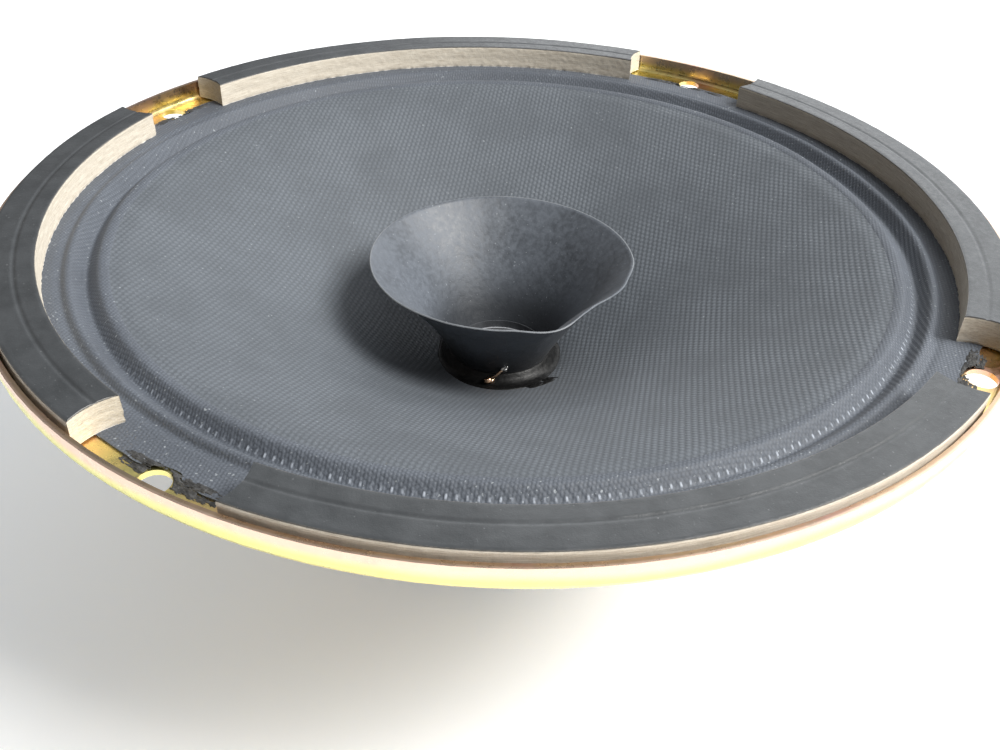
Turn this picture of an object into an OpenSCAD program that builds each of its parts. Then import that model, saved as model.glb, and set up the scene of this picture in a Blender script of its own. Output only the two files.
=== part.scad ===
// Eight inch dual-cone car loudspeaker: pressed basket, ferrite motor, paper cone with a whizzer.
// The origin is on the speaker's axis, in the rear face of the mounting flange; +Z points to the listener.

/* [Basket] */
// Outer diameter of the upturned rim
basket_d = 203; // [200:0.5:206]
// Thickness of the pressed steel sheet
sheet_t = 1; // [0.8:0.1:1.2]
// Height of the rim above the rear face of the flange
rim_h = 5.3; // [4:0.1:6.5]
// Diameter of the circle through the mounting holes
hole_circle_d = 194; // [192:0.5:195]
// Diameter of each mounting hole
hole_d = 5.5; // [4.5:0.1:6]
// Number of mounting holes, which is also the number of legs and windows
hole_count = 4; // [4:1:4]
// Depth of the motor seat below the flange
seat_depth = 50; // [47:1:54]
// Angle that each window spans
window_sweep = 66; // [50:1:68]

/* [Gasket] */
// Thickness of the chipboard arcs
gasket_t = 5.5; // [3:0.1:7]
// Outer diameter of the ring of arcs
gasket_outer_d = 199.8; // [198:0.1:200]
// Inner diameter of the ring of arcs
gasket_inner_d = 182; // [180:0.5:186]
// Angle that each arc spans
gasket_sweep = 74.1; // [60:0.1:76]
// Radius of the scoop in each end of an arc
gasket_scoop_r = 11.5; // [8:0.5:20]

/* [Cones] */
// Diameter of the main cone at its edge
cone_d = 159; // [156:0.5:160]
// Height of the cone's edge above the rear face of the flange
cone_edge_z = 1.5; // [1.2:0.1:2]
// Height of the cone's neck
cone_neck_z = -34.3; // [-36:0.1:-33]
// Rise of the curved cone above a straight one, halfway up
cone_bulge = 1.2; // [0:0.1:2.5]
// Thickness of the cone paper
cone_t = 0.5; // [0.4:0.05:0.7]
// Diameter of the whizzer's rim
whizzer_d = 57.2; // [50:0.2:64]
// Height of the whizzer's rim
whizzer_rim_z = -7.5; // [-12:0.1:-5]
// Inward flare of the whizzer between neck and rim
whizzer_flare = 1.8; // [0:0.1:3]
// Thickness of the whizzer paper
whizzer_t = 0.35; // [0.3:0.05:0.5]

/* [Edge and spider] */
// Thickness of the edge cloth and of the spider cloth
cloth_t = 0.4; // [0.3:0.05:0.5]
// Outer diameter of the edge cloth
edge_d = 187.2; // [184:0.2:188]
// Diameter of the spider
spider_d = 96; // [94:0.5:98]
// Number of corrugations in the spider
spider_waves = 5; // [3:1:7]
// Height of a spider corrugation above its middle
spider_wave_h = 1.3; // [0.8:0.1:1.8]

/* [Voice coil] */
// Outer diameter of the coil former
former_d = 20.6; // [20.4:0.1:20.8]
// Wall of the coil former
former_t = 0.15; // [0.1:0.01:0.2]
// Length of the winding
winding_h = 8; // [6:0.5:10]
// Thickness of the winding, two layers
winding_t = 0.45; // [0.3:0.05:0.5]

/* [Motor] */
// Diameter of the ferrite ring
magnet_d = 72; // [68:1:76]
// Thickness of the ferrite ring
magnet_t = 13; // [10:1:16]
// Diameter of the two steel plates
plate_d = 66; // [64:1:70]
// Thickness of each steel plate
plate_t = 5; // [4:0.5:6]
// Clearance on each side of the voice coil
gap_clearance = 0.35; // [0.3:0.05:0.5]

/* [Terminals] */
// Width of the terminal board
board_w = 26; // [24:1:30]
// Distance between the two solder lugs
lug_pitch = 16; // [14:1:18]
// Width of a solder lug
lug_w = 5; // [4:0.2:6]
// Diameter of a braided lead
lead_d = 1; // [0.8:0.1:1.2]

/* [Hidden] */
$fn = 96;

// Basket
basket_r = basket_d / 2;
rim_bend_r = 1.9;
wall_r = 88.8;
shoulder_r = 87.2;
shoulder_z = -11;
ledge_z = -40;
ledge_outer_r = 50;
ledge_inner_r = 41.5;
seat_r = 39.5;
seat_hole_r = 16;
basket_path = [
    [basket_r - sheet_t / 2, rim_h], [basket_r - sheet_t / 2, sheet_t / 2], [wall_r, sheet_t / 2],
    [shoulder_r, shoulder_z], [shoulder_r - 4, shoulder_z], [ledge_outer_r, ledge_z - sheet_t / 2],
    [ledge_inner_r, ledge_z - sheet_t / 2], [seat_r, sheet_t / 2 - seat_depth],
    [seat_hole_r, sheet_t / 2 - seat_depth]
];
basket_bends = [0, rim_bend_r, 1.5, 2.2, 2, 3, 2, 2, 0];
window_inner_r = 54;
window_outer_r = 80;
window_corner_r = 5;
window_arc_steps = 10;
bead_sweep = 11;
bead_h = 1.6;
bead_radii = [79, 55];
frame_rivet_circle_r = 27;
frame_rivet_r = 2;
frame_rivet_head_r = 3.2;
frame_rivet_head_h = 1.2;
frame_rivet_l = 3.5;

// Motor: each level is the top face of the piece
plate_z = -seat_depth;
magnet_z = plate_z - plate_t;
back_z = magnet_z - magnet_t;
rear_z = back_z - plate_t;
former_r = former_d / 2;
winding_r = former_r + winding_t;
pole_r = former_r - former_t - gap_clearance;
spigot_r = 8;
magnet_hole_r = 16;
plate_chamfer = 0.6;

// Cone, whizzer and coil
edge_r = cone_d / 2;
neck_r = former_r + cone_t;
cone_steps = 9;
collar_h = 3.5;
whizzer_r = whizzer_d / 2;
whizzer_neck_r = former_r + whizzer_t;
whizzer_neck_z = -32;
whizzer_collar_h = 2;
whizzer_steps = 8;
former_top_z = -30.6;
winding_mid_z = plate_z - plate_t / 2;
former_tail = 0.6;
former_bottom_z = winding_mid_z - winding_h / 2 - former_tail;
glue_reach = 3.2;
glue_line = 0.05;
cap_rise = 0.9;
cap_t = 0.4;
cap_z = -32.4;

// Edge cloth
landing_z = sheet_t + cloth_t / 2;
edge_path = [
    [edge_d / 2, landing_z], [89.3, landing_z], [87.9, landing_z - 0.5], [86.4, landing_z + 0.9],
    [83.7, landing_z - 2.6], [80.9, landing_z - 0.1], [79.6, landing_z - 0.55]
];
edge_bends = [0, 1.2, 0.9, 0.9, 1.0, 0.8, 0];
edge_glue_r = 76.5;

// Spider
spider_z = ledge_z + cloth_t / 2;
spider_flat_r = 40.5;
spider_wave_inner_r = 13;
spider_collar_h = 1.8;
spider_steps = 8;

// Terminals, as if the tab in the window at -Y hung straight down from the shoulder; on_slope() tilts them
slope_top_r = shoulder_r - 4;
tab_tilt = atan2(slope_top_r - ledge_outer_r, shoulder_z - ledge_z + sheet_t / 2);
tab_w = 22;
tab_y = -slope_top_r - 0.15;
tab_top_z = -12.5;
tab_bottom_z = -23.5;
board_t = 1.6;
board_y = tab_y - sheet_t / 2;
board_top_z = -15.5;
board_bottom_z = -32.5;
tab_rivet_x = 6;
tab_rivet_z = -19.5;
lug_t = 0.8;
lug_top_z = -25;
lug_bottom_z = -38.5;
lug_hole_r = 1;
lug_rivet_z = -30;
small_rivet_r = 1.2;
small_head_r = 2.1;
small_closed_r = 1.9;
small_head_h = 0.8;

// Gasket: the centre angle of each arc, counted from +X
gasket_back_a = 91.35;
gasket_left_a = 179.5;
gasket_front_a = -89.25;
gasket_right_a = -2.65;
gasket_z = sheet_t + cloth_t;
groove_r = 94.6;
groove_w = 0.7;
groove_h = 0.25;

// Solder joints on the neck, each as radius, angle and height, and the glue patch on the cone
solder_spots = [[13.2, -112.8, -31.5], [12.8, -98.3, -28.2]];
solder_r = 1.1;
patch_radii = [16.8, 20.8];
patch_start_a = -69;
patch_sweep = 18;
patch_t = 0.35;
patch_gap = 0.03;
lead_out_r = 0.18;

// Routes of the two braided leads, from lug to cone
lead_route_positive = [
    [8, -71.2, -21.3], [8.1, -69.6, -19.7], [8.4, -66, -18.4], [8.7, -60, -18.8], [8.6, -52, -22],
    [7.8, -43, -26.2], [6.6, -33, -30.2], [5.2, -24, -33.4], [4.1, -17.2, -34.9], [3.6, -14, -33.7]
];
lead_route_negative = [
    [-8, -71.2, -21.3], [-8.2, -69.5, -19.7], [-8.9, -65.5, -18.6], [-9.8, -59, -19.4], [-9.9, -51, -22.9],
    [-9.3, -42, -27.2], [-8.5, -32.5, -31.2], [-7.5, -23.5, -34], [-6.6, -16.8, -34.9], [-6.3, -13.2, -33.6]
];
lead_sides = 8;
lead_steps = 3;

// Unit vector along v, and v turned a quarter turn to the left
function unit(v) = v / norm(v);
function left_of(v) = [-v[1], v[0]];

// Points of one rounded corner of a path, moved sideways by d
function corner(p, u, v, r, d, steps = 6) =
    let (turn = atan2(cross(u, v), u * v))
    let (s = sign(turn))
    let (centre = p - u * r * tan(abs(turn) / 2) + left_of(u) * r * s)
    let (out = -s * left_of(u))
    let (start = atan2(out[1], out[0]))
    [for (k = [0 : steps]) centre + (r - s * d) * [cos(start + turn * k / steps), sin(start + turn * k / steps)]];

// One side of a bent sheet: the path with rounded corners, moved sideways by d
function sheet_side(path, bends, d) =
    let (last = len(path) - 1)
    concat(
        [path[0] + d * left_of(unit(path[1] - path[0]))],
        [for (i = [1 : last - 1])
            for (q = corner(path[i], unit(path[i] - path[i - 1]), unit(path[i + 1] - path[i]), bends[i], d)) q],
        [path[last] + d * left_of(unit(path[last] - path[last - 1]))]
    );

function polar(r, a) = r * [cos(a), sin(a)];

// A point on the middle of the sloping legs at radius r
function slope_point(r) =
    let (top = basket_path[4])
    let (foot = basket_path[5])
    top + (foot - top) * (top[0] - r) / (top[0] - foot[0]);

function reversed(list) = [for (i = [len(list) - 1 : -1 : 0]) list[i]];

// Closed outline of a bent sheet of thickness t
function sheet_outline(path, bends, t) =
    concat(sheet_side(path, bends, t / 2), reversed(sheet_side(path, bends, -t / 2)));

// Height of the cone's front face at radius r
function cone_front(r) =
    let (f = (r - neck_r) / (edge_r - neck_r))
    cone_neck_z + f * (cone_edge_z - cone_neck_z) + 4 * cone_bulge * f * (1 - f);

// Height at radius r of the cone's front face as made, straight between its steps
function cone_face(r) =
    let (step = (edge_r - neck_r) / cone_steps)
    let (a = neck_r + step * floor((r - neck_r) / step))
    cone_front(a) + (cone_front(a + step) - cone_front(a)) * (r - a) / step;

// A point on the whizzer's outer face, from the neck (f = 0) to the rim (f = 1), moved inwards by d
function whizzer_point(f, d) =
    let (from = [whizzer_neck_r, whizzer_neck_z])
    let (to = [whizzer_r, whizzer_rim_z])
    let (inward = left_of(unit(to - from)))
    from + f * (to - from) + (4 * whizzer_flare * f * (1 - f) + d) * inward;

// Height of the middle of the spider at radius r
function spider_mid(r) =
    let (f = (r - spider_wave_inner_r) / (spider_flat_r - spider_wave_inner_r))
    spider_z + (f < 0 || f > 1 ? 0 : spider_wave_h * sin(360 * spider_waves * f));

// A smooth curve through the points, with n steps between neighbours
function smooth(p, n) = concat(
    [for (i = [0 : len(p) - 2])
        let (a = p[max(i - 1, 0)])
        let (b = p[i])
        let (c = p[i + 1])
        let (d = p[min(i + 2, len(p) - 1)])
        for (k = [0 : n - 1])
            let (t = k / n)
            ((2 * b) + (c - a) * t + (2 * a - 5 * b + 4 * c - d) * t * t + (3 * b - a - 3 * c + d) * t * t * t) / 2],
    [p[len(p) - 1]]
);

// Direction of a route at its point i
function heading(route, i) = unit(route[min(i + 1, len(route) - 1)] - route[max(i - 1, 0)]);

// Repeats its children at the places between the windows
module at_holes(radius) {
    for (i = [0 : hole_count - 1]) {
        rotate([0, 0, (i + 0.5) * 360 / hole_count]) translate([radius, 0, 0]) children();
    }
}

// A round tube along a route
module swept_lead(points) {
    route = smooth(points, lead_steps);
    rings = len(route);
    ring_points = [
        for (i = [0 : rings - 1])
            let (w = heading(route, i))
            let (u = unit(cross(w, [1, 0, 0])))
            let (v = cross(w, u))
            for (k = [0 : lead_sides - 1])
                let (a = 360 * k / lead_sides)
                route[i] + lead_d / 2 * (u * cos(a) + v * sin(a))
    ];
    side_faces = [
        for (i = [0 : rings - 2])
            for (k = [0 : lead_sides - 1])
                let (n = (k + 1) % lead_sides)
                [i * lead_sides + k, (i + 1) * lead_sides + k, (i + 1) * lead_sides + n, i * lead_sides + n]
    ];
    first_cap = [for (k = [0 : lead_sides - 1]) k];
    last_cap = [for (k = [lead_sides - 1 : -1 : 0]) (rings - 1) * lead_sides + k];
    polyhedron(ring_points, concat(side_faces, [first_cap, last_cap]));
}

// Outline of one window, seen along the axis and centred on +X
module window_outline() {
    half = window_sweep / 2;
    outer_half = half - atan(window_corner_r / window_outer_r);
    inner_half = half - atan(window_corner_r / window_inner_r);
    polygon(concat(
        [for (k = [0 : window_arc_steps]) polar(window_outer_r, outer_half * (2 * k / window_arc_steps - 1))],
        corner(polar(window_outer_r, half), polar(1, half + 90), -polar(1, half), window_corner_r, 0, 3),
        corner(polar(window_inner_r, half), -polar(1, half), polar(1, half - 90), window_corner_r, 0, 3),
        [for (k = [0 : window_arc_steps]) polar(window_inner_r, inner_half * (1 - 2 * k / window_arc_steps))],
        corner(polar(window_inner_r, -half), polar(1, -half - 90), polar(1, -half), window_corner_r, 0, 3),
        corner(polar(window_outer_r, -half), polar(1, -half), polar(1, 90 - half), window_corner_r, 0, 3)
    ));
}

// The stiffening bead of one leg, centred on +X: a raised strip on the sheet's rear, or the channel inside it
module leg_bead(sweep, inset, depth) {
    outer = slope_point(bead_radii[0] - inset);
    inner = slope_point(bead_radii[1] + inset);
    along = unit(outer - inner);
    rear = -left_of(along);
    rotate([0, 0, -sweep / 2]) rotate_extrude(angle = sweep) polygon([
        outer - depth[0] * rear, outer + (depth[1] - bead_h) * rear, outer + depth[1] * rear - bead_h * along,
        inner + depth[1] * rear + bead_h * along, inner + (depth[1] - bead_h) * rear, inner - depth[0] * rear
    ]);
}

// A domed rivet head that stands on z = 0
module rivet_head(head_r, head_h) {
    dome_r = (head_r * head_r + head_h * head_h) / (2 * head_h);
    rotate_extrude() intersection() {
        translate([0, head_h - dome_r]) circle(dome_r);
        square([head_r, head_h]);
    }
}

// A domed rivet head with its shank below z = 0
module rivet(shank_r, shank_l, head_r, head_h) {
    rivet_head(head_r, head_h);
    translate([0, 0, -shank_l]) cylinder(r = shank_r, h = shank_l);
}

// A steel disc with chamfered outer edges, its top face at z = 0
module plate_disc(r, t) {
    rotate_extrude() polygon([
        [0, 0], [r - plate_chamfer, 0], [r, -plate_chamfer], [r, plate_chamfer - t], [r - plate_chamfer, -t], [0, -t]
    ]);
}

// Tilts what hangs from the shoulder at -Y to lie along the slope of the legs
module on_slope() {
    translate([0, -slope_top_r, shoulder_z]) rotate([tab_tilt, 0, 0]) translate([0, slope_top_r, -shoulder_z]) {
        children();
    }
}

module basket() {
    color("khaki") difference() {
        union() {
            difference() {
                union() {
                    rotate_extrude() polygon(sheet_outline(basket_path, basket_bends, sheet_t));
                    at_holes(0) leg_bead(bead_sweep, 0, [0, sheet_t / 2 + bead_h]);
                }
                at_holes(0) leg_bead(bead_sweep - 2, sheet_t, [sheet_t, bead_h - sheet_t / 2]);
                for (i = [0 : hole_count - 1]) {
                    rotate([0, 0, i * 360 / hole_count]) translate([0, 0, ledge_z - 5]) {
                        linear_extrude(shoulder_z - ledge_z + 4) window_outline();
                    }
                }
            }
            on_slope() translate([-tab_w / 2, tab_y - sheet_t / 2, tab_bottom_z]) {
                cube([tab_w, sheet_t, tab_top_z - tab_bottom_z]);
            }
        }
        at_holes(hole_circle_d / 2) translate([0, 0, -1]) cylinder(d = hole_d, h = sheet_t + 2);
        at_holes(frame_rivet_circle_r) translate([0, 0, -seat_depth - 1]) cylinder(r = frame_rivet_r, h = 3);
        for (x = [-tab_rivet_x, tab_rivet_x]) {
            on_slope() translate([x, tab_y + 1, tab_rivet_z]) rotate([90, 0, 0]) {
                cylinder(r = small_rivet_r, h = 2);
            }
        }
    }
}

module frame_rivets() {
    color("silver") at_holes(frame_rivet_circle_r) translate([0, 0, sheet_t - seat_depth]) {
        rivet(frame_rivet_r, frame_rivet_l, frame_rivet_head_r, frame_rivet_head_h);
    }
}

module top_plate() {
    color("khaki") difference() {
        translate([0, 0, plate_z]) plate_disc(plate_d / 2, plate_t);
        translate([0, 0, magnet_z - 1]) cylinder(r = winding_r + gap_clearance, h = plate_t + 2);
        at_holes(frame_rivet_circle_r) translate([0, 0, sheet_t - seat_depth - frame_rivet_l]) {
            cylinder(r = frame_rivet_r, h = frame_rivet_l + 1);
        }
    }
}

module magnet() {
    color("dimgray") translate([0, 0, back_z]) difference() {
        cylinder(d = magnet_d, h = magnet_t);
        translate([0, 0, -1]) cylinder(r = magnet_hole_r, h = magnet_t + 2);
    }
}

module back_plate() {
    color("khaki") difference() {
        translate([0, 0, back_z]) plate_disc(plate_d / 2, plate_t);
        translate([0, 0, rear_z - 1]) cylinder(r = spigot_r, h = plate_t + 2);
    }
}

module pole_piece() {
    color("khaki") rotate_extrude() polygon([
        [0, rear_z], [spigot_r, rear_z], [spigot_r, back_z], [pole_r, back_z],
        [pole_r, plate_z - plate_chamfer], [pole_r - plate_chamfer, plate_z], [0, plate_z]
    ]);
}

module terminal_board() {
    color("saddlebrown") on_slope() difference() {
        translate([-board_w / 2, board_y - board_t, board_bottom_z]) {
            cube([board_w, board_t, board_top_z - board_bottom_z]);
        }
        for (side = [-1, 1]) {
            translate([side * tab_rivet_x, board_y + 1, tab_rivet_z]) rotate([90, 0, 0]) {
                cylinder(r = small_rivet_r, h = board_t + 2);
            }
            translate([side * lug_pitch / 2, board_y + 1, lug_rivet_z]) rotate([90, 0, 0]) {
                cylinder(r = small_rivet_r, h = board_t + 2);
            }
        }
    }
}

// A rivet through the board: its head on the board's outer face, its closed end inside
module board_rivet(grip) {
    translate([0, board_y - board_t, 0]) rotate([90, 0, 0]) {
        rivet(small_rivet_r, grip, small_head_r, small_head_h);
        translate([0, 0, -grip]) mirror([0, 0, 1]) rivet_head(small_closed_r, small_head_h);
    }
}

module terminal_rivets() {
    color("silver") on_slope() for (side = [-1, 1]) {
        translate([side * tab_rivet_x, 0, tab_rivet_z]) board_rivet(board_t + sheet_t);
    }
}

// A solder lug: a strip with round ends, a rivet hole and a wire hole
module terminal_lug() {
    round_r = lug_w / 2;
    translate([0, board_y + lug_t, 0]) rotate([90, 0, 0]) linear_extrude(lug_t) difference() {
        union() {
            translate([-round_r, lug_bottom_z + round_r]) square([lug_w, lug_top_z - lug_bottom_z - lug_w]);
            translate([0, lug_top_z - round_r]) circle(round_r);
            translate([0, lug_bottom_z + round_r]) circle(round_r);
        }
        translate([0, lug_rivet_z]) circle(small_rivet_r);
        translate([0, lug_bottom_z + round_r]) circle(lug_hole_r);
    }
}

module terminal_lug_positive() {
    color("gold") on_slope() translate([lug_pitch / 2, 0, 0]) terminal_lug();
}

module terminal_lug_negative() {
    color("silver") on_slope() translate([-lug_pitch / 2, 0, 0]) terminal_lug();
}

module lug_rivets() {
    color("silver") on_slope() for (side = [-1, 1]) {
        translate([side * lug_pitch / 2, 0, lug_rivet_z]) board_rivet(board_t + lug_t);
    }
}

// One chipboard arc: scooped ends and a pressed line round its front face
module gasket_arc(middle_a) {
    inner_r = gasket_inner_d / 2;
    outer_r = gasket_outer_d / 2;
    middle_r = (inner_r + outer_r) / 2;
    half_w = (outer_r - inner_r) / 2;
    scoop_back = sqrt(gasket_scoop_r * gasket_scoop_r - half_w * half_w);
    scoop_a = gasket_sweep / 2 + scoop_back / middle_r * 180 / PI;
    top_z = gasket_z + gasket_t;
    color("dimgray") rotate([0, 0, middle_a]) difference() {
        rotate([0, 0, -gasket_sweep / 2]) rotate_extrude(angle = gasket_sweep) polygon([
            [inner_r, gasket_z], [outer_r, gasket_z], [outer_r, top_z], [groove_r + groove_w, top_z],
            [groove_r, top_z - groove_h], [groove_r - groove_w / 2, top_z], [inner_r, top_z]
        ]);
        for (side = [-1, 1]) {
            rotate([0, 0, side * scoop_a]) translate([middle_r, 0, gasket_z - 1]) {
                cylinder(r = gasket_scoop_r, h = gasket_t + 2);
            }
        }
    }
}

module gasket_back() {
    gasket_arc(gasket_back_a);
}

module gasket_left() {
    gasket_arc(gasket_left_a);
}

module gasket_front() {
    gasket_arc(gasket_front_a);
}

module gasket_right() {
    gasket_arc(gasket_right_a);
}

// The edge cloth: flat landing, groove, crest, valley, and a band glued under the cone's edge
module edge_surround() {
    top = sheet_side(edge_path, edge_bends, -cloth_t / 2);
    bottom = sheet_side(edge_path, edge_bends, cloth_t / 2);
    under = cone_front(edge_glue_r) - cone_t / cos(27) - glue_line;
    color("darkslategray") rotate_extrude() polygon(concat(
        top, [[edge_glue_r, under]], [[edge_glue_r, under - cloth_t]], reversed(bottom)
    ));
}

module spider() {
    step = (spider_flat_r - spider_wave_inner_r) / (spider_waves * spider_steps);
    waves = [for (i = [0 : spider_waves * spider_steps]) spider_wave_inner_r + i * step];
    inner_r = former_r + glue_line;
    collar_r = inner_r + cloth_t;
    color("darkkhaki") rotate_extrude() polygon(concat(
        [[spider_d / 2, ledge_z + cloth_t]],
        reversed([for (r = waves) [r, spider_mid(r) + cloth_t / 2]]),
        [[collar_r, spider_z + cloth_t / 2], [collar_r, spider_z + spider_collar_h], [inner_r, spider_z + spider_collar_h]],
        [[inner_r, spider_z - cloth_t / 2]],
        [for (r = waves) [r, spider_mid(r) - cloth_t / 2]],
        [[spider_d / 2, ledge_z]]
    ));
}

module main_cone() {
    radii = [for (i = [0 : cone_steps]) neck_r + (edge_r - neck_r) * i / cone_steps];
    drop = cone_t / cos(27);
    color("slategray") rotate_extrude() polygon(concat(
        [[former_r, cone_neck_z - collar_h], [former_r, cone_neck_z]],
        [for (r = radii) [r, cone_front(r)]],
        reversed([for (r = radii) [r, cone_front(r) - drop]]),
        [[neck_r, cone_neck_z - collar_h]]
    ));
}

module whizzer_cone() {
    outer = [for (i = [0 : whizzer_steps]) whizzer_point(i / whizzer_steps, 0)];
    inner = [for (i = [0 : whizzer_steps]) whizzer_point(i / whizzer_steps, whizzer_t)];
    bottom_z = whizzer_neck_z - whizzer_collar_h;
    color("slategray") rotate_extrude() polygon(concat(
        [[former_r, bottom_z], [whizzer_neck_r, bottom_z]], outer, reversed(inner)
    ));
}

// A shallow felt dome that closes the former
module dust_cap() {
    r = former_r - former_t;
    dome_r = (r * r + cap_rise * cap_rise) / (2 * cap_rise);
    color("black") translate([0, 0, cap_z]) rotate_extrude() difference() {
        intersection() {
            translate([0, cap_rise - dome_r]) circle(dome_r, $fn = 360);
            square([r, cap_rise]);
        }
        translate([0, cap_rise - cap_t - dome_r]) circle(dome_r, $fn = 360);
    }
}

module coil_former() {
    color("sienna") translate([0, 0, former_bottom_z]) difference() {
        cylinder(r = former_r, h = former_top_z - former_bottom_z);
        translate([0, 0, -1]) cylinder(r = former_r - former_t, h = former_top_z - former_bottom_z + 2);
    }
}

module coil_winding() {
    color("chocolate") translate([0, 0, winding_mid_z - winding_h / 2]) difference() {
        cylinder(r = winding_r, h = winding_h);
        translate([0, 0, -1]) cylinder(r = former_r, h = winding_h + 2);
    }
}

// The paper band that holds the winding's ends against the former
module coil_collar() {
    collar_t = 0.2;
    low_z = winding_mid_z + winding_h / 2 + 0.4;
    high_z = spider_z - 1.2;
    color("tan") translate([0, 0, low_z]) difference() {
        cylinder(r = former_r + collar_t, h = high_z - low_z);
        translate([0, 0, -1]) cylinder(r = former_r, h = high_z - low_z + 2);
    }
}

// Half section of all that the whizzer's outer face encloses
module whizzer_section() {
    outer = [for (i = [0 : whizzer_steps]) whizzer_point(i / whizzer_steps, 0)];
    polygon(concat([[0, whizzer_neck_z - whizzer_collar_h], [whizzer_neck_r, whizzer_neck_z - whizzer_collar_h]],
        outer, [[0, whizzer_rim_z]]));
}

// Half section of the fillet of glue, before the whizzer is cut from it
module glue_section() {
    outer_r = whizzer_neck_r + glue_reach;
    polygon([
        [whizzer_neck_r, cone_neck_z + 0.3], [neck_r, cone_front(neck_r)], [outer_r, cone_front(outer_r)],
        [whizzer_neck_r + 1.6, whizzer_neck_z + 0.3], [whizzer_neck_r, whizzer_neck_z]
    ]);
}

// The fillet of black glue between the whizzer's neck and the main cone
module neck_glue() {
    color("black") rotate_extrude() difference() {
        glue_section();
        whizzer_section();
    }
}

module cone_glue_patches() {
    step_r = neck_r + (edge_r - neck_r) / cone_steps;
    foot = [for (r = [patch_radii[0], step_r, patch_radii[1]]) [r, cone_face(r) + patch_gap]];
    color("black") rotate([0, 0, patch_start_a]) rotate_extrude(angle = patch_sweep) polygon(concat(foot, [
        [patch_radii[1] - 0.6, cone_front(patch_radii[1] - 0.6) + patch_t],
        [patch_radii[0] + 0.6, cone_front(patch_radii[0] + 0.6) + patch_t]
    ]));
}

// Two drops of solder, one on the glue and one on the foot of the whizzer
module cone_solder_joints() {
    color("silver") for (spot = solder_spots) {
        difference() {
            rotate([0, 0, spot[1]]) translate([spot[0], 0, spot[2]]) sphere(solder_r);
            rotate_extrude() union() {
                glue_section();
                whizzer_section();
            }
        }
    }
}

// The winding's two ends, laid up the former's outside from the winding to the cone's neck
module coil_lead_outs() {
    low_z = winding_mid_z + winding_h / 2;
    color("peru") for (spot = solder_spots) {
        rotate([0, 0, spot[1]]) translate([former_r + 0.2 + lead_out_r, 0, low_z]) {
            cylinder(r = lead_out_r, h = spider_z - 1.2 - low_z);
        }
    }
}

module lead_wire_positive() {
    color("peru") swept_lead(lead_route_positive);
}

module lead_wire_negative() {
    color("peru") swept_lead(lead_route_negative);
}

basket();
frame_rivets();
top_plate();
magnet();
back_plate();
pole_piece();
terminal_board();
terminal_rivets();
terminal_lug_positive();
terminal_lug_negative();
lug_rivets();
gasket_back();
gasket_left();
gasket_front();
gasket_right();
edge_surround();
spider();
main_cone();
whizzer_cone();
dust_cap();
coil_former();
coil_winding();
coil_collar();
neck_glue();
cone_glue_patches();
cone_solder_joints();
coil_lead_outs();
lead_wire_positive();
lead_wire_negative();
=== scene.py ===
"""Looks of a full-range car speaker with a whizzer cone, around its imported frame."""
import math
from collections import namedtuple

import bpy
import numpy as np
from mathutils import Matrix, Vector


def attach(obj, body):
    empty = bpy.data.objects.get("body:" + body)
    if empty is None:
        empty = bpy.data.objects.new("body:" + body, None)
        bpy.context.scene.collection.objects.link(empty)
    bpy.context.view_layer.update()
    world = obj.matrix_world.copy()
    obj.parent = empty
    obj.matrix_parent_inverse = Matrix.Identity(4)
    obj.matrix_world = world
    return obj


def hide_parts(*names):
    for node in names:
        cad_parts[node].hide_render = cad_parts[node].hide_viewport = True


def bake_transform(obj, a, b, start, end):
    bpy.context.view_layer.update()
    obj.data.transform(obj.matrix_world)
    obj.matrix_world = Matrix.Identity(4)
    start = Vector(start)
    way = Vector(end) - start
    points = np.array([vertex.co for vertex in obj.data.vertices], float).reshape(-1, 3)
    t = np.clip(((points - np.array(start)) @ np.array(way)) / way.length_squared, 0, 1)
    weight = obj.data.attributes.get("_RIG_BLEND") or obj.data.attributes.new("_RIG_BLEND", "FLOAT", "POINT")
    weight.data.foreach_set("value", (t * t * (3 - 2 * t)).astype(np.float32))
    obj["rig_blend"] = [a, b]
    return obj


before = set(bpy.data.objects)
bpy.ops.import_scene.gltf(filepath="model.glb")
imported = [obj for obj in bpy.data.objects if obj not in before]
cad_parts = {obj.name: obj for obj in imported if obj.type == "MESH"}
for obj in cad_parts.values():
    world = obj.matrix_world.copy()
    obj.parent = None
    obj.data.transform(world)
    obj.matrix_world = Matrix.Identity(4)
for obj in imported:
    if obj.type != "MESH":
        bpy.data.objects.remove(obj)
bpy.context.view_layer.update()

MM = 0.001  # lengths are in millimetres up to where a mesh or an object is made
METRE = 1000
TURN = 2 * math.pi

# ---- Sizes shared with the design: millimetres, and degrees about Z from +X ----
FLOOR_Z, RIM_R = -73.0, 101.5
FORMER_R, NECK_R, EDGE_R = 10.3, 10.8, 79.5
CONE_NECK_Z, CONE_EDGE_Z, CONE_BULGE, CONE_T = -34.3, 1.5, 1.2, 0.5
CONE_DROP = CONE_T / math.cos(math.radians(27))  # the paper's thickness along Z, on the cone's slope
CLOTH_T = 0.4
LANDING_Z = 1.2
WHIZZER_FOOT = np.array([10.65, -32.0])
WHIZZER_RIM = np.array([28.6, -7.5])
WHIZZER_FLARE, WHIZZER_T = 1.8, 0.35
GASKET_IN, GASKET_OUT, GASKET_LOW, GASKET_TOP = 91.0, 99.9, 1.4, 6.9
GASKET_SWEEP = 74.1
GASKETS = {"gasket_back": 91.35, "gasket_left": 179.5, "gasket_front": -89.25, "gasket_right": -2.65}
HOLE_CIRCLE_R, HOLE_ANGLE, HOLE_STEP = 97, 45, 90
SPIDER_Z, SPIDER_WAVE, SPIDER_WAVES = -39.8, 1.3, 5
SPIDER_IN, SPIDER_OUT, SPIDER_RIM = 13, 40.5, 48  # the waves run from in to out
MAGNET_Z, MAGNET_R = -61.5, 36.0
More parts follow.
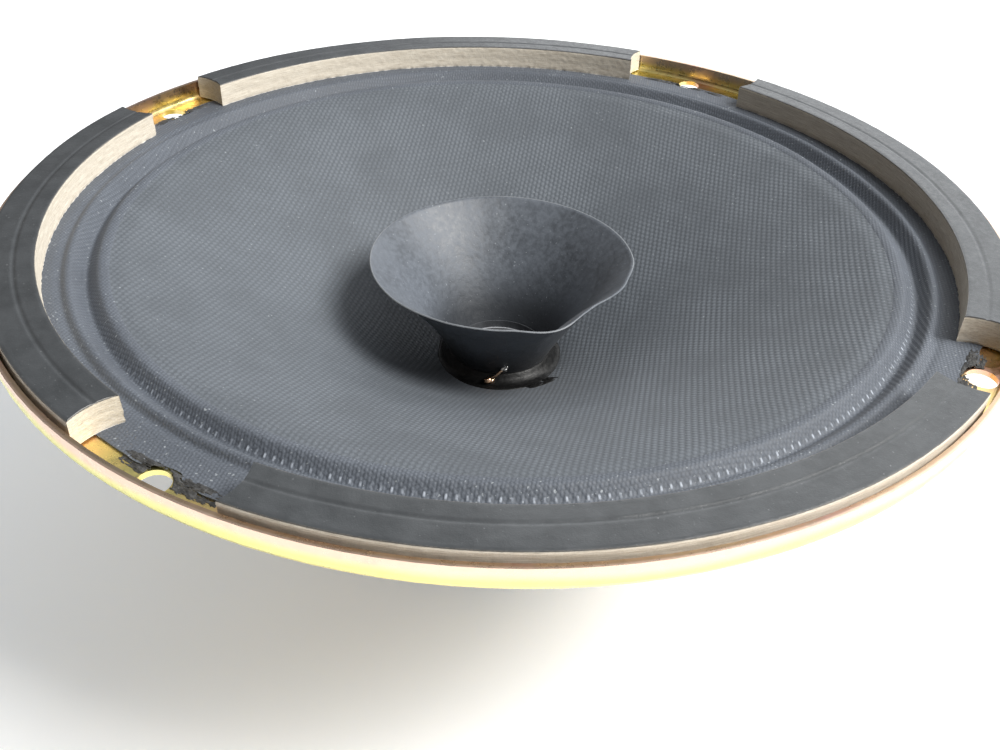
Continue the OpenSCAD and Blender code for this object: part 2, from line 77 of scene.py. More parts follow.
LEADS = {  # the line of each lead, from its lug to the cone
    "lead_wire_positive": [
        (8, -71.2, -21.3), (8.1, -69.6, -19.7), (8.4, -66, -18.4), (8.7, -60, -18.8), (8.6, -52, -22),
        (7.8, -43, -26.2), (6.6, -33, -30.2), (5.2, -24, -33.4), (4.1, -17.2, -34.9), (3.6, -14, -33.7)],
    "lead_wire_negative": [
        (-8, -71.2, -21.3), (-8.2, -69.5, -19.7), (-8.9, -65.5, -18.6), (-9.8, -59, -19.4),
        (-9.9, -51, -22.9), (-9.3, -42, -27.2), (-8.5, -32.5, -31.2), (-7.5, -23.5, -34),
        (-6.6, -16.8, -34.9), (-6.3, -13.2, -33.6)],
}

# ---- Sizes of the looks only ----
PUCKERS, PUCKER_R = 320, 82.8  # gathers around the edge cloth, and the radius of their valley
CLOTH_OUT, CLOTH_AT_HOLE = 95.7, 93.9
CLOTH_STILL_R, CLOTH_FREE_R = 88.6, 80.2  # the edge cloth bends between these radii
WHIZZER_DENTS = [(-57.0, 24.0, -1.6), (-84.0, 17.0, 0.9), (-31.0, 22.0, -0.85)]  # middle, half width, depth
SCREEN_ROWS = (155.7, 95.7, 35.7)
SCOOP_R, PRESSED_R = 11.5, 94.75  # of a gasket: its ends' hollow cut, and the line pressed in its cover
BRAID_R, BRAID_LAY = 0.5, 3.2
SOLDER_LOW, SOLDER_HIGH = (13.3, -112.8, -30.9), (12.9, -98.3, -28.0)  # radius, angle, height
GAP_GLUE = [  # name, first and last angle, inner and outer radius, share left bare, angle of the hole
    ("gap_glue_front_left", -141.0, -127.4, 93.6, 97.2, 0.10, -135),
    ("gap_glue_front_right", -51.4, -39.4, 93.0, 97.2, 0.13, -45),
    ("gap_glue_back_right", 36.0, 54.0, 93.4, 96.8, 0.22, 45),
    ("gap_glue_back_left", 128.4, 141.0, 93.4, 96.8, 0.22, 135),
]

# ---- Camera, room and lights (distance, width and height of a light are in metres) ----
CAMERA_PLACE = (-47.57, -186.63, 104.275)
CAMERA_PAN, CAMERA_TILT, CAMERA_ROLL = math.radians(14.441), -0.640077, 0.040573
CAMERA_SENSOR, CAMERA_LENS = 36.0, 36.9
FLOOR_HALF = 1800
ROOM_BRIGHT_AZIMUTH, ROOM_BRIGHT_ELEVATION, ROOM_DARK, ROOM_BRIGHT = 5.0, 32.0, 0.03, 0.50
LIGHTS = [  # name, azimuth, elevation, distance, width, height, power, colour
    ("window", -30, 50, 1.1, 0.6, 0.52, 25.5, (1.0, 0.985, 0.955)),
    ("far_wall", 53, 27, 1.4, 1.3, 1.1, 7.2, (0.97, 0.985, 1.0)),
]


# ---- Camera ----
def aim(obj, place, forward, roll=0.0):
    """Puts obj at place, looking along forward, turned about its own line of sight by roll."""
    forward = Vector(forward).normalized()
    right = forward.cross(Vector((0, 0, 1))).normalized()
    up = right.cross(forward)
    side = right * math.cos(roll) + up * math.sin(roll)
    top = up * math.cos(roll) - right * math.sin(roll)
    turn = Matrix((side, top, -forward)).transposed().to_4x4()
    obj.matrix_world = Matrix.Translation(Vector(place) * MM) @ turn


def add_camera():
    """The camera at the photograph's viewing angle."""
    data = bpy.data.cameras.new("camera")
    data.sensor_width, data.lens = CAMERA_SENSOR, CAMERA_LENS
    data.clip_start, data.clip_end = 0.005, 20
    pan, tilt = CAMERA_PAN, CAMERA_TILT
    obj = bpy.data.objects.new("camera", data)
    bpy.context.collection.objects.link(obj)
    forward = (math.sin(pan) * math.cos(tilt), math.cos(pan) * math.cos(tilt), math.sin(tilt))
    aim(obj, CAMERA_PLACE, forward, CAMERA_ROLL)
    bpy.context.scene.camera = obj


# ---- Meshes ----
def field(u, v, cells_u, cells_v, seed):
    """Smooth noise from -1 to 1 over u and v from 0 to 1. It closes on itself along u."""
    grid = np.random.default_rng(seed).uniform(-1, 1, (cells_u, cells_v + 2))
    x, y = (np.asarray(u) % 1) * cells_u, np.clip(v, 0, 1) * cells_v
    i, j = np.floor(x).astype(int), np.floor(y).astype(int)
    fx, fy = x - i, y - j
    fx, fy = fx * fx * (3 - 2 * fx), fy * fy * (3 - 2 * fy)
    i, k = i % cells_u, (i + 1) % cells_u
    low = grid[i, j] * (1 - fx) + grid[k, j] * fx
    high = grid[i, j + 1] * (1 - fx) + grid[k, j + 1] * fx
    return low * (1 - fy) + high * fy


def step(x, low, high):
    """0 below low, 1 above high, smooth between."""
    t = np.clip((np.asarray(x, float) - low) / (high - low), 0, 1)
    return t * t * (3 - 2 * t)


def turned(degrees, middle):
    """The angle from middle, between -180 and 180 degrees."""
    return (degrees - middle + 180) % 360 - 180


def hump(x, middle, half):
    """1 at the middle, and 0 from half away."""
    return 1 - step(abs(np.asarray(x, float) - middle), 0, half)


def rounded(path, bends, steps=9):
    """The path with each inner corner turned into an arc of about that radius."""
    path = [np.array(p, float) for p in path]
    out = [path[0]]
    for before, here, after, bend in zip(path, path[1:], path[2:], bends[1:]):
        u, v = here - before, after - here
        u, v = u / np.linalg.norm(u), v / np.linalg.norm(v)
        reach = bend * math.tan(math.acos(float(np.clip(u @ v, -1, 1))) / 2)
        start, end = here - u * reach, here + v * reach
        for t in np.linspace(0, 1, steps):
            out.append((1 - t) ** 2 * start + 2 * t * (1 - t) * here + t * t * end)
    return np.array(out + [path[-1]])


def evenly(points, count):
    """The same line with count points, evenly spaced along it."""
    points = np.asarray(points, float)
    along = np.concatenate([[0], np.cumsum(np.linalg.norm(np.diff(points, axis=0), axis=1))])
    at = np.linspace(0, along[-1], count)
    return np.stack([np.interp(at, along, points[:, k]) for k in range(points.shape[1])], 1)


def shifted(points, d):
    """A flat line moved sideways by d, to its left."""
    run = np.gradient(points, axis=0)
    run /= np.linalg.norm(run, axis=1)[:, None]
    return points + d * np.stack([-run[:, 1], run[:, 0]], 1)


def mesh_object(name, points, faces, sharp=40):
    """A smooth-shaded object, creased where its faces meet at over sharp degrees."""
    mesh = bpy.data.meshes.new(name)
    mesh.from_pydata((np.asarray(points, float) * MM).tolist(), [], [list(map(int, f)) for f in faces])
    mesh.shade_smooth()
    mesh.set_sharp_from_angle(angle=math.radians(sharp))
    obj = bpy.data.objects.new(name, mesh)
    bpy.context.collection.objects.link(obj)
    return obj


def torus_faces(rows, cols):
    """Quads over a grid of points that closes on itself both ways."""
    i, j = np.meshgrid(np.arange(rows), np.arange(cols), indexing="ij")
    k, m = (i + 1) % rows, (j + 1) % cols
    return np.stack([i * cols + j, k * cols + j, k * cols + m, i * cols + m], -1).reshape(-1, 4).tolist()


def ring(name, outline, steps, place, sharp=40):
    """A closed outline of (r, z) points, counterclockwise, turned about Z. place moves its points."""
    outline = np.asarray(outline, float)
    a, r = np.meshgrid(np.arange(steps) * TURN / steps, outline[:, 0], indexing="ij")
    z = np.broadcast_to(outline[:, 1], r.shape)
    r, z, a = place(r, z, a)
    points = np.stack([r * np.cos(a), r * np.sin(a), z], -1).reshape(-1, 3)
    return mesh_object(name, points, torus_faces(steps, len(outline)), sharp)


def tube(name, line, radius, sides, dent=None):
    """A closed tube along the points of line. dent(s, a) scales its radius."""
    line = np.asarray(line, float)
    run = np.gradient(line, axis=0)
    run /= np.linalg.norm(run, axis=1)[:, None]
    across = np.cross(run[0], [0.3, 0.2, 1.0])
    frames = []
    for t in run:
        across = across - (across @ t) * t
        across /= np.linalg.norm(across)
        frames.append((across.copy(), np.cross(t, across)))
    a = np.arange(sides) * TURN / sides
    points = []
    for k, (u, v) in enumerate(frames):
        swell = radius * (dent(k / (len(line) - 1), a) if dent else np.ones(sides))
        points.extend(line[k] + (np.outer(np.cos(a), u) + np.outer(np.sin(a), v)) * swell[:, None])
    faces = []
    for i, j in np.ndindex(len(line) - 1, sides):
        here, k = i * sides, (j + 1) % sides
        faces.append([here + j, here + k, here + sides + k, here + sides + j])
    last, foot = len(points), (len(line) - 1) * sides
    points += [line[0], line[-1]]
    faces += [[last, (j + 1) % sides, j] for j in range(sides)]
    faces += [[last + 1, foot + j, foot + (j + 1) % sides] for j in range(sides)]
    return mesh_object(name, points, faces, 60)


def block(name, us, vs, ws, place, sharp):
    """The skin of a box of grid points us x vs x ws, with place(u, v, w) giving each point's x, y, z."""
    keys, faces = {}, []

    def corner(i, j, k):
        return keys.setdefault((i, j, k), len(keys))

    def add_face(*corners):
        faces.append([corner(*c) for c in corners])

    nu, nv, nw = len(us) - 1, len(vs) - 1, len(ws) - 1
    for i, j in np.ndindex(nu, nv):
        add_face((i, j, nw), (i + 1, j, nw), (i + 1, j + 1, nw), (i, j + 1, nw))
        add_face((i, j, 0), (i, j + 1, 0), (i + 1, j + 1, 0), (i + 1, j, 0))
    for j, k in np.ndindex(nv, nw):
        add_face((nu, j, k), (nu, j + 1, k), (nu, j + 1, k + 1), (nu, j, k + 1))
        add_face((0, j, k), (0, j, k + 1), (0, j + 1, k + 1), (0, j + 1, k))
    for i, k in np.ndindex(nu, nw):
        add_face((i, 0, k), (i + 1, 0, k), (i + 1, 0, k + 1), (i, 0, k + 1))
        add_face((i, nv, k), (i, nv, k + 1), (i + 1, nv, k + 1), (i + 1, nv, k))
    ijk = np.array(list(keys))
    points = place(np.asarray(us)[ijk[:, 0]], np.asarray(vs)[ijk[:, 1]], np.asarray(ws)[ijk[:, 2]])
    return mesh_object(name, points, faces, sharp)


def piece(obj, body, look, replaces=()):
    """The piece takes a material, stands for CAD nodes and, unless it is blended, rides on a body."""
    obj.data.materials.clear()
    obj.data.materials.append(look)
    if replaces:
        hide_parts(*replaces)
    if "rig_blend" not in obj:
        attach(obj, body)


def bend_between(obj, start, end, share):
    """obj bends between the frame and the cone. share(r, y) is how far a point follows the cone."""
    start, end = (tuple(v * MM for v in point) for point in (start, end))
    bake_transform(obj, "frame", "moving_cone", start=start, end=end)
    co = np.empty(len(obj.data.vertices) * 3)
    obj.data.vertices.foreach_get("co", co)
    x, y = co.reshape(-1, 3).T[:2] / MM
    follow = share(np.hypot(x, y), y).astype(np.float32)
    obj.data.attributes["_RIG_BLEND"].data.foreach_set("value", follow)


# ---- Materials ----
Spot = namedtuple("Spot", "x y z r a")


class Look:
    """A material's node tree, with short ways to add to it. Lengths are in millimetres."""

    def __init__(self, name, **fixed):
        self.material = bpy.data.materials.new(name)
        self.material.use_nodes = True
        self.tree = self.material.node_tree
        self.shader = self.tree.nodes["Principled BSDF"]
        for key, value in fixed.items():
            socket = self.shader.inputs[key.replace("_", " ")]
            socket.default_value = (*value, 1) if isinstance(value, tuple) else value
        self.where = self.add("ShaderNodeTexCoord").outputs["Object"]

    def add(self, kind, **settings):
        node = self.tree.nodes.new(kind)
        for key, value in settings.items():
            setattr(node, key, value)
        return node

    def put(self, socket, value):
        if isinstance(value, bpy.types.NodeSocket):
            self.tree.links.new(value, socket)
        elif value is not None:
            socket.default_value = value

    def calc(self, operation, a, b=None, c=None):
        node = self.add("ShaderNodeMath", operation=operation)
        for socket, value in zip(node.inputs, (a, b, c)):
            self.put(socket, value)
        return node.outputs[0]

    def times(self, a, b):
        return self.calc("MULTIPLY", a, b)

    def plus(self, a, b):
        return self.calc("ADD", a, b)

    def minus(self, a, b):
        return self.calc("SUBTRACT", a, b)

    def from_middle(self, value, middle):
        """How far value is from middle, either way."""
        return self.calc("ABSOLUTE", self.minus(value, middle))

    def noise(self, size, detail=3, rough=0.6, where=None, warp=0.0):
        """Noise from 0 to 1 with patches of about that size."""
        node = self.add("ShaderNodeTexNoise")
        self.put(node.inputs["Vector"], where or self.where)
        node.inputs["Scale"].default_value = 1 / (size * MM)
        node.inputs["Detail"].default_value = detail
        node.inputs["Roughness"].default_value = rough
        node.inputs["Distortion"].default_value = warp
        return node.outputs["Fac"]

    def between(self, value, low=0.3, high=0.7, first=0.0, last=1.0):
        """first where value is below low, last above high, smooth between."""
        node = self.add("ShaderNodeMapRange", interpolation_type="SMOOTHSTEP")
        for socket, v in zip(node.inputs, (value, low, high, first, last)):
            self.put(socket, v)
        return node.outputs[0]

    def mix(self, share, a, b):
        """The colour a, or b where share is 1."""
        node = self.add("ShaderNodeMix", data_type="RGBA")
        self.put(node.inputs[0], share)
        for socket, value in ((node.inputs[6], a), (node.inputs[7], b)):
            self.put(socket, (*value, 1) if isinstance(value, tuple) else value)
        return node.outputs[2]

    def ramp(self, value, *stops):
        """A colour for each value, from (value, colour) stops."""
        node = self.add("ShaderNodeValToRGB")
        self.put(node.inputs[0], value)
        ramp = node.color_ramp
        while len(ramp.elements) < len(stops):
            ramp.elements.new(1.0)
        for element, (place, colour) in zip(ramp.elements, stops):
            element.position, element.color = place, (*colour, 1)
        return node.outputs[0]

    def stretched(self, x, y, z, turn=0.0):
        """The place with each axis scaled, turned about Z first."""
        node = self.add("ShaderNodeMapping")
        self.put(node.inputs["Vector"], self.where)
        node.inputs["Rotation"].default_value = (0, 0, turn)
        node.inputs["Scale"].default_value = (x, y, z)
        return node.outputs[0]

    def xyz(self):
        """x, y and z in millimetres, the distance from Z and the angle about it."""
        node = self.add("ShaderNodeSeparateXYZ")
        self.put(node.inputs[0], self.where)
        x, y, z = (self.times(s, 1 / MM) for s in node.outputs)
        r = self.calc("SQRT", self.plus(self.times(x, x), self.times(y, y)))
        return Spot(x, y, z, r, self.calc("ARCTAN2", y, x))

    def around(self, r, a, z):
        """A place vector of angle, radius and height, for grain that goes around."""
        node = self.add("ShaderNodeCombineXYZ")
        for socket, value in zip(node.inputs, (a, r, z)):
            self.put(socket, value)
        return node.outputs[0]

    def facing_up(self):
        """The surface's own upward share, from -1 to 1."""
        node = self.add("ShaderNodeSeparateXYZ")
        self.put(node.inputs[0], self.add("ShaderNodeNewGeometry").outputs["True Normal"])
        return node.outputs[2]

    def bump(self, height, depth, strength=1.0, under=None):
        """The normal with height as relief, over another bump where under gives one."""
        node = self.add("ShaderNodeBump")
        node.inputs["Strength"].default_value = strength
        node.inputs["Distance"].default_value = depth * MM
        self.put(node.inputs["Height"], height)
        if under:
            self.put(node.inputs["Normal"], under)
        return node.outputs[0]

    def rows(self, angle, pitch, where=None):
        """A cosine from -1 to 1 across rows whose normal points at that angle, in degrees."""
        node = self.add("ShaderNodeVectorMath", operation="DOT_PRODUCT")
        k, way = TURN / (pitch * MM), math.radians(angle)
        self.put(node.inputs[0], where or self.where)
        node.inputs[1].default_value = (k * math.cos(way), k * math.sin(way), 0)
        return self.calc("COSINE", node.outputs["Value"])

    def finish(self, colour, rough, normal):
        """Joins all three to the shader, and gives the material."""
        for name, value in (("Base Color", colour), ("Roughness", rough), ("Normal", normal)):
            self.put(self.shader.inputs[name], value)
        return self.material


def warped(look, size, reach):
    """The place, pushed about by noise of that size by up to reach."""
    noise = look.add("ShaderNodeTexNoise")
    look.put(noise.inputs["Vector"], look.where)
    noise.inputs["Scale"].default_value = 1 / (size * MM)
    push = look.add("ShaderNodeVectorMath", operation="MULTIPLY_ADD")
    look.put(push.inputs[0], noise.outputs["Color"])
    push.inputs[1].default_value = (2 * reach * MM,) * 3
    look.put(push.inputs[2], look.where)
    return push.outputs[0]


def screen_pattern(look, pitch):
    """The fine screen pressed into cone and edge: three sets of rows, 60 degrees apart."""
    where = warped(look, 9, 0.16)
    rows = [look.rows(angle, pitch, where) for angle in SCREEN_ROWS]
    total = look.plus(look.times(rows[0], 1.6), look.plus(rows[1], rows[2]))
    return look.between(total, -2.4, 3.0)


def cone_cloth(name, dark, light, depth, pitch, fuzz, lint_from, wear_and_painted_tips=False):
    """Slate paper or cloth with the pressed screen, pale lint and broad cloudy shading.

    The last flag adds a painted highlight: pale tips on the puckers at the front of the edge's valley."""
    look = Look(name, Sheen_Weight=0.04, Sheen_Roughness=0.5, Specular_IOR_Level=0.42)
    dots = screen_pattern(look, pitch)
    clouds = look.noise(17, 3, 0.55)
    strong = look.between(clouds, 0.32, 0.66, 0.55, 1.0)
    fibre = look.noise(0.35, 3, 0.65)
    lint = look.between(look.noise(0.55, 1, 0.4), lint_from, lint_from + 0.065)
    base = look.mix(look.times(dots, strong), dark, light)
    base = look.mix(look.between(fibre, 0.3, 0.75, 0.0, fuzz), base, tuple(1.35 * c for c in light))
    base = look.mix(look.between(clouds, 0.35, 0.7, 0.0, 0.16), base, tuple(1.4 * c for c in light))
    base = look.mix(look.times(lint, 0.4), base, (0.42, 0.45, 0.47))
    if wear_and_painted_tips:
        spot = look.xyz()
        # Painted highlight: pale tips where light catches the puckers, only at the front.
        tip_highlight = look.between(look.calc("COSINE", look.times(spot.a, PUCKERS)), 0.55, 1.0)
        tip_highlight = look.times(tip_highlight, look.between(look.from_middle(spot.r, PUCKER_R + 0.1), 0.42, 0.1))
        tip_highlight = look.times(tip_highlight, look.between(spot.y, -20.0, -60.0))
        tip_highlight = look.times(tip_highlight, look.between(look.noise(2.2, 2, 0.5), 0.36, 0.6, 0.25, 0.9))
        base = look.mix(tip_highlight, base, (0.33, 0.36, 0.41))
    normal = look.bump(fibre, 0.05, 0.7, look.bump(look.times(dots, strong), depth))
    rough = look.between(fibre, 0.2, 0.8, 0.52, 0.74)
    return look.finish(base, rough, normal)


def whizzer_paper():
    """Thin satin paper, mottled, paler where its rim was cut, with painted shade towards its foot and a
    painted highlight along the foot's edge.
    """
    look = Look("whizzer_paper", Sheen_Weight=0.03, Specular_IOR_Level=0.45)
    spot = look.xyz()
    mottle = look.noise(1.3, 4, 0.62)
    clouds = look.noise(11, 2, 0.5)
    fibre = look.noise(0.3, 2, 0.6)
    base = look.mix(look.between(mottle, 0.3, 0.72), (0.052, 0.059, 0.070), (0.092, 0.104, 0.123))
    base = look.mix(look.between(clouds, 0.3, 0.7, 0.0, 0.35), base, (0.12, 0.135, 0.16))
    # Painted shade: the paper darkens towards its foot, inside and out.
    base = look.mix(look.between(spot.z, -18.0, -29.0), base, (0.022, 0.025, 0.030))
    lint = look.between(look.noise(0.42, 1, 0.4), 0.74, 0.80)
    base = look.mix(look.times(lint, 0.5), base, (0.4, 0.43, 0.46))
    along = look.plus(look.times(look.minus(spot.r, WHIZZER_RIM[0]), 0.59),
                      look.times(look.minus(spot.z, WHIZZER_RIM[1]), 0.807))
    rim = look.between(look.plus(along, look.times(fibre, 0.12)), -0.08, 0.12)
    base = look.mix(look.times(rim, 0.45), base, (0.22, 0.23, 0.24))
    # Painted highlight: a pale band along the inner edge of the foot.
    foot = look.between(look.from_middle(spot.z, WHIZZER_FOOT[1] + 0.4), 0.45, 0.25)
    base = look.mix(foot, base, (0.5, 0.52, 0.55))
    normal = look.bump(mottle, 0.09, 0.8, look.bump(clouds, 0.5, 0.6))
    rough = look.between(mottle, 0.25, 0.8, 0.42, 0.6)
    return look.finish(base, rough, normal)


def chipboard():
    """Charcoal paper over layered tan board, which shows where the board was cut."""
    look = Look("chipboard", Specular_IOR_Level=0.62)
    spot = look.xyz()
    grain = look.around(spot.r, look.times(spot.a, 20), look.times(spot.z, 9))
    layers = look.noise(1000, where=grain)
    fibre = look.noise(0.25, 3, 0.7)
    top = look.between(look.facing_up(), 0.35, 0.75)
    skin = look.between(look.plus(spot.z, look.times(fibre, 0.3)), GASKET_TOP - 0.22, GASKET_TOP - 0.04)
    cover = look.calc("MAXIMUM", top, look.times(skin, 0.9))
    cut = look.mix(look.between(layers), (0.44, 0.375, 0.29), (0.70, 0.645, 0.545))
    cut = look.mix(look.between(fibre, 0.35, 0.75, 0.0, 0.35), cut, (0.80, 0.76, 0.68))
    low = look.between(look.plus(spot.z, look.times(fibre, 0.3)), GASKET_LOW + 0.32, GASKET_LOW + 0.16)
    cut = look.mix(look.times(low, 0.8), cut, (0.86, 0.84, 0.80))
    cloud = look.noise(6, 4, 0.6)
    paper = look.mix(look.between(cloud), (0.029, 0.032, 0.035), (0.045, 0.049, 0.053))
    scuff = look.between(look.noise(1.1, 4, 0.7, where=look.stretched(1, 0.25, 1, 0.6)), 0.66, 0.8)
    paper = look.mix(look.times(scuff, 0.4), paper, (0.2, 0.21, 0.22))
    specks = look.between(look.noise(0.5, 1, 0.4), 0.74, 0.8)
    paper = look.mix(look.times(specks, 0.35), paper, (0.3, 0.31, 0.32))
    edge = look.between(look.from_middle(spot.r, (GASKET_IN + GASKET_OUT) / 2), 4.2, 4.44)
    edge = look.times(edge, look.between(fibre, 0.35, 0.6))
    paper = look.mix(look.times(edge, 0.4), paper, (0.25, 0.22, 0.18))
    rough = look.between(look.noise(0.8), 0.25, 0.8, 0.30, 0.48)
    rough = look.calc("MAXIMUM", rough, look.times(look.minus(1.0, cover), 0.8))
    normal = look.bump(fibre, 0.04, 0.8, look.bump(look.noise(0.9), 0.05, 0.6))
    return look.finish(look.mix(cover, cut, paper), rough, normal)


def yellow_zinc():
    """Bright zinc with a yellow chromate film that turns gold, pink and green."""
    look = Look("yellow_zinc", Metallic=1.0)
    spot = look.xyz()
    film = look.noise(20, 2, 0.45, warp=0.3)
    fine = look.noise(2.2)
    bands = look.noise(30, 1, 0.4, where=look.stretched(1, 1, 0.2))
    lip = look.between(spot.r, RIM_R - 0.6, RIM_R - 0.2)
    height = look.plus(spot.z, look.calc("MULTIPLY_ADD", bands, 2.4, -1.2))
    outside = look.mix(look.between(height, 2.4, 4.4), (0.76, 0.72, 0.27), (0.80, 0.59, 0.46))
    tint = look.plus(film, look.times(fine, 0.18))
    colour = look.ramp(
        tint, (0.38, (0.58, 0.60, 0.28)), (0.50, (0.80, 0.68, 0.26)), (0.62, (0.84, 0.62, 0.26)),
        (0.71, (0.70, 0.42, 0.28)), (0.79, (0.64, 0.40, 0.40)), (0.90, (0.46, 0.52, 0.36)))
    wall = look.between(spot.z, 2.0, 4.2, 0.0, 0.75)
    colour = look.mix(wall, colour, (0.44, 0.29, 0.25))
    colour = look.mix(lip, colour, outside)
    dull = look.between(look.noise(3.5, 4, 0.6), 0.55, 0.8)
    colour = look.mix(look.times(dull, 0.35), colour, (0.45, 0.42, 0.34))
    rolling = look.noise(1.0, 2, 0.5, where=look.stretched(0.06, 1, 1, 0.4))
    rough = look.between(look.plus(look.times(fine, 0.6), look.times(rolling, 0.4)),
                         0.3, 0.75, 0.22, 0.42)
    normal = look.bump(rolling, 0.02, 0.5, look.bump(look.noise(0.5), 0.012, 0.6))
    return look.finish(colour, rough, normal)


def turned_steel(name, dark, light, rough_low=0.28, rough_high=0.45, rust=0.15):
    """Plated steel with faint turning rings, dull patches and stained spots."""
    look = Look(name, Metallic=1.0)
    spot = look.xyz()
    turning = look.around(look.times(spot.r, 5), look.times(spot.a, 0.6), spot.z)
    rings = look.noise(1000, 2, 0.6, where=turning)
    cloud = look.noise(5, 4, 0.6)
    colour = look.mix(look.between(cloud), dark, light)
    stain = look.between(look.noise(2.3, 4, 0.65), 0.6, 0.78)
    colour = look.mix(look.times(stain, rust), colour, (0.23, 0.15, 0.08))
    rough = look.between(look.plus(look.times(rings, 0.5), look.times(cloud, 0.5)),
                         0.3, 0.7, rough_low, rough_high)
    normal = look.bump(rings, 0.02, 0.6, look.bump(look.noise(0.6), 0.012, 0.6))
    return look.finish(colour, rough, normal)


def ferrite():
    """Dark ground ferrite: fine grain, pale dust and pale edges where it wore."""
    look = Look("ferrite", Specular_IOR_Level=0.5)
    spot = look.xyz()
    grain = look.noise(0.5, 4, 0.7)
    cloud = look.noise(9)
    colour = look.mix(look.between(cloud), (0.018, 0.018, 0.020), (0.038, 0.038, 0.041))
    dust = look.times(look.between(grain, 0.5, 0.8), 0.4)
    colour = look.mix(dust, colour, (0.11, 0.11, 0.115))
    near_rim = look.between(spot.r, MAGNET_R - 0.7, MAGNET_R)
    near_face = look.between(look.from_middle(spot.z, MAGNET_Z), 6.1, 6.5)
    wear_and_painted_tips = look.times(look.times(near_rim, near_face), look.between(grain, 0.35, 0.6))
    colour = look.mix(look.times(wear_and_painted_tips, 0.6), colour, (0.2, 0.2, 0.21))
    grinding = look.around(spot.r, look.times(spot.a, 3), look.times(spot.z, 4))
    grind = look.noise(1000, 2, 0.6, where=grinding)
    rough = look.between(grain, 0.3, 0.75, 0.4, 0.66)
    normal = look.bump(grain, 0.06, 0.8, look.bump(grind, 0.05, 0.5))
    return look.finish(colour, rough, normal)


def phenolic():
    """Brown paper laminate with fibres and a resin shine."""
    look = Look("phenolic", Coat_Weight=0.3, Coat_Roughness=0.25)
    fibre = look.noise(0.8, 4, 0.65, where=look.stretched(0.35, 1, 1))
    cloud = look.noise(4)
    colour = look.mix(look.between(cloud), (0.16, 0.07, 0.028), (0.25, 0.12, 0.05))
    colour = look.mix(look.between(fibre, 0.5, 0.75, 0.0, 0.5), colour, (0.32, 0.18, 0.08))
    return look.finish(colour, look.between(fibre, 0.3, 0.7, 0.35, 0.55), look.bump(fibre, 0.04, 0.6))


def soft_metal(name, dark, light, rough_low, rough_high, bump=0.03):
    """Plain plated or tinned metal with dull patches and fine scratches."""
    look = Look(name, Metallic=1.0)
    cloud = look.noise(1.6, 4, 0.65)
    scratch = look.noise(0.5, where=look.stretched(0.12, 1, 1, 0.7))
    colour = look.mix(look.between(cloud), dark, light)
    rough = look.between(look.plus(look.times(cloud, 0.5), look.times(scratch, 0.5)),
                         0.3, 0.7, rough_low, rough_high)
    return look.finish(colour, rough, look.bump(scratch, bump, 0.6))


def spider_cloth():
    """Open woven cotton, stiffened with amber resin."""
    look = Look("spider_cloth", Sheen_Weight=0.1, Specular_IOR_Level=0.35)
    warp, weft = look.rows(12, 0.55), look.rows(102, 0.55)
    weave = look.between(look.times(warp, weft), -0.9, 0.9)
    threads = look.between(look.calc("MAXIMUM", warp, weft), -0.2, 0.9)
    cloud = look.noise(6)
    fibre = look.noise(0.2, 3, 0.7)
    colour = look.mix(threads, (0.15, 0.09, 0.035), (0.46, 0.33, 0.16))
    colour = look.mix(look.between(cloud, 0.35, 0.7, 0.0, 0.5), colour, (0.34, 0.21, 0.085))
    colour = look.mix(look.between(fibre, 0.5, 0.8, 0.0, 0.4), colour, (0.62, 0.5, 0.32))
    height = look.plus(look.times(weave, 0.5), look.times(threads, 0.5))
    normal = look.bump(fibre, 0.03, 0.7, look.bump(height, 0.12))
    return look.finish(colour, look.between(cloud, 0.3, 0.7, 0.5, 0.8), normal)


def paper(name, dark, light, rough, pale_from=None):
    """Plain paper or felt: clouds, fibres and a soft tooth, with a painted highlight as a paler ring outside
    the radius pale_from.
    """
    look = Look(name, Sheen_Weight=0.1, Specular_IOR_Level=0.3)
    fibre = look.noise(0.25, 4, 0.7, warp=0.5)
    cloud = look.noise(3)
    colour = look.mix(look.between(cloud), dark, light)
    colour = look.mix(look.between(fibre, 0.5, 0.8, 0.0, 0.5), colour, tuple(1.6 * c for c in light))
    # Painted highlight: the pale ring stands in for light on the rim.
    if pale_from:
        pale = look.between(look.xyz().r, pale_from, pale_from + 0.15)
        colour = look.mix(pale, colour, (0.26, 0.27, 0.29))
    rough = look.between(fibre, 0.2, 0.8, rough - 0.1, rough + 0.1)
    return look.finish(colour, rough, look.bump(fibre, 0.06, 0.8))


def black_glue(name, rough_low, rough_high, dust_share, shine, tone):
    """Black contact glue: lumpy and wrinkled, dusty in places."""
    look = Look(name, Specular_IOR_Level=shine)
    lumps = look.noise(1.0, 3, 0.55)
    wrinkles = look.noise(0.4, warp=1.2)
    colour = look.mix(look.between(lumps, 0.35, 0.7), (0.006 * tone,) * 3, (0.018 * tone,) * 3)
    dust = look.between(look.noise(0.3, 3, 0.7), 0.62, 0.8)
    colour = look.mix(look.times(dust, dust_share), colour, (0.16, 0.16, 0.15))
    rough = look.between(wrinkles, 0.3, 0.7, rough_low, rough_high)
    normal = look.bump(wrinkles, 0.05, 0.7, look.bump(lumps, 0.12, 0.7))
    return look.finish(colour, rough, normal)


def braid_metal():
    """Fine tinsel: copper foil threads with bright and tarnished strands."""
    look = Look("tinsel_braid", Metallic=1.0)
    strand = look.noise(0.14, 2, 0.6)
    cloud = look.noise(4)
    colour = look.mix(look.between(strand, 0.35, 0.65), (0.30, 0.13, 0.06), (0.86, 0.52, 0.33))
    colour = look.mix(look.between(cloud, 0.4, 0.75, 0.0, 0.5), colour, (0.40, 0.24, 0.14))
    return look.finish(colour, look.between(strand, 0.3, 0.7, 0.25, 0.5), look.bump(strand, 0.05, 0.8))


